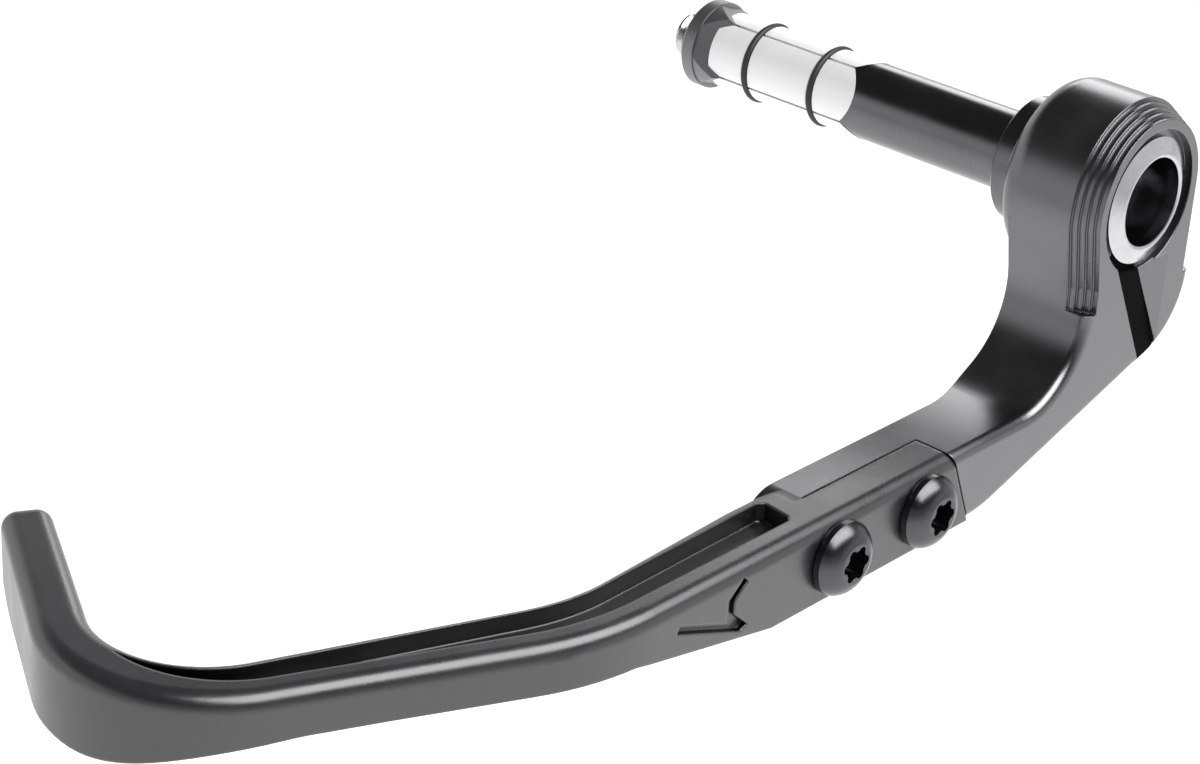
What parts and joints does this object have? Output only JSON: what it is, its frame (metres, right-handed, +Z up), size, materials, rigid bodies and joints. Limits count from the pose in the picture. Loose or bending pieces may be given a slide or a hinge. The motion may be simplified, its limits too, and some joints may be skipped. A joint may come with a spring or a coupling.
{
  "type": "brake lever guard",
  "caption": "Handlebar-end lever guard: round clamp head on an expanding bar stem, curved arm and long hooked blade held by screws.",
  "frame": {"origin": "on the stem's axis, at the inboard face of the collar that seats on the handlebar's end", "axes": "+X outboard along the stem's axis, -Y forward along the blade, +Z up"},
  "size_m": [0.1065, 0.2075, 0.0614],
  "materials": {
    "guard_arm": "satin black anodised",
    "guard_blade": "moulded black glass-filled nylon",
    "blade_screw_inner": "black oxide steel",
    "blade_screw_outer": "black oxide steel",
    "bar_stem": "gloss black anodised",
    "spacer_ring": "bare turned aluminium",
    "bezel_ring": "clear anodised",
    "expander_segment_1": "bare aluminium",
    "expander_segment_2": "bare aluminium",
    "expander_segment_3": "bare aluminium",
    "expander_segment_4": "bare aluminium",
    "o_ring_inner": "nitrile rubber",
    "o_ring_outer": "nitrile rubber",
    "wedge_nut": "black anodised",
    "stem_bolt": "zinc-plated steel",
    "bolt_washer": "zinc-plated steel",
    "pinch_screw": "black oxide steel",
    "slit_strip": "matte black rubber"
  },
  "bodies": {
    "root": {"guard_arm": "guard_arm", "guard_blade": "guard_blade", "blade_screw_inner": "blade_screw_inner", "blade_screw_outer": "blade_screw_outer", "bar_stem": "bar_stem", "spacer_ring": "spacer_ring", "bezel_ring": "bezel_ring", "expander_segment_1": "expander_segment_1", "expander_segment_2": "expander_segment_2", "expander_segment_3": "expander_segment_3", "expander_segment_4": "expander_segment_4", "o_ring_inner": "o_ring_inner", "o_ring_outer": "o_ring_outer", "wedge_nut": "wedge_nut", "stem_bolt": "stem_bolt", "bolt_washer": "bolt_washer", "pinch_screw": "pinch_screw", "slit_strip": "slit_strip"}
  },
  "joints": []
}
